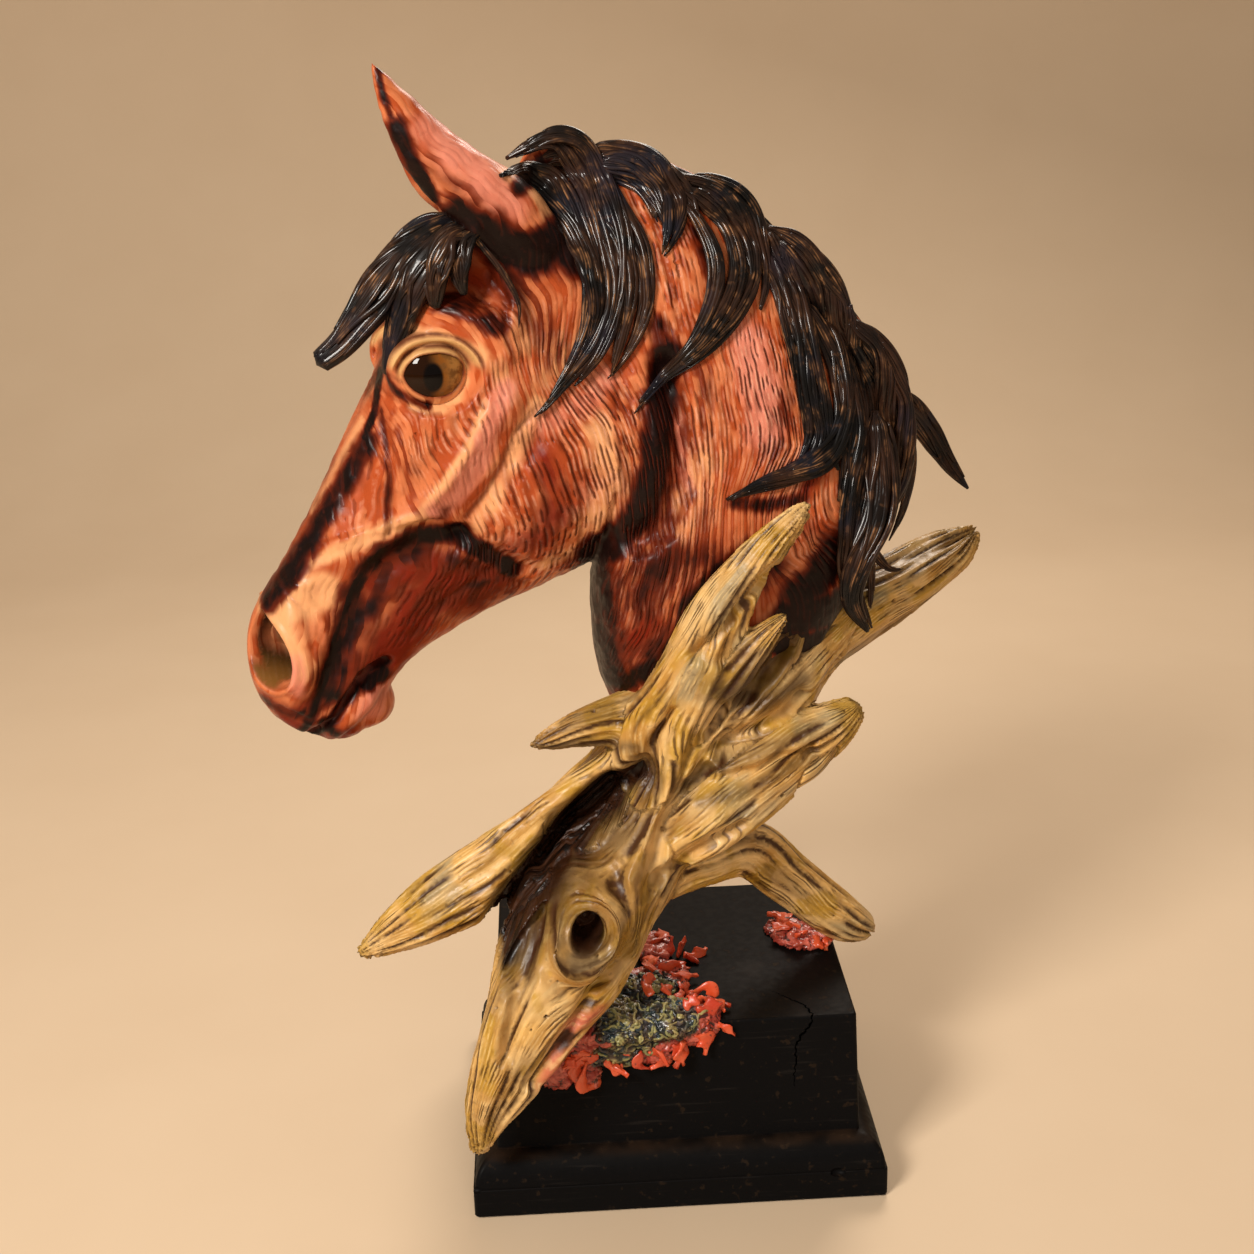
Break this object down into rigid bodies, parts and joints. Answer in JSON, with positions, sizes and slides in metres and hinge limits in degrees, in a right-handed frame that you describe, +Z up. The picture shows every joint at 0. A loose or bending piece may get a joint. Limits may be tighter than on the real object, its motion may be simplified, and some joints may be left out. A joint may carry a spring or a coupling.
{
  "type": "horse head sculpture",
  "caption": "Horse head with pricked ears, forelock and flowing mane rising out of forked driftwood, set on a moulded rectangular plinth.",
  "frame": {"origin": "centre of the plinth's underside", "axes": "+Z up; the horse faces -X and shows its left side to -Y"},
  "size_m": [0.2654, 0.1423, 0.3974],
  "materials": {
    "horse_coat": "cast resin painted red-brown, with dark washes in the recesses and pink and tan dry-brushed highlights, satin",
    "mane": "cast resin painted black-brown, glossy, with a worn brown dry-brush on the strands",
    "driftwood": "cast resin painted as weathered wood, ochre and cream over brown grooves, satin",
    "blossom": "cast resin painted coral red with dark green and yellow lichen",
    "black_lacquer": "satin black lacquer, lightly worn, with a hairline crack",
    "eye": "glossy amber-brown with a black pupil"
  },
  "bodies": {
    "root": {"horse_head_on_driftwood": "horse_coat", "plinth": "black_lacquer", "eye_left": "eye", "eye_right": "eye"}
  },
  "joints": []
}
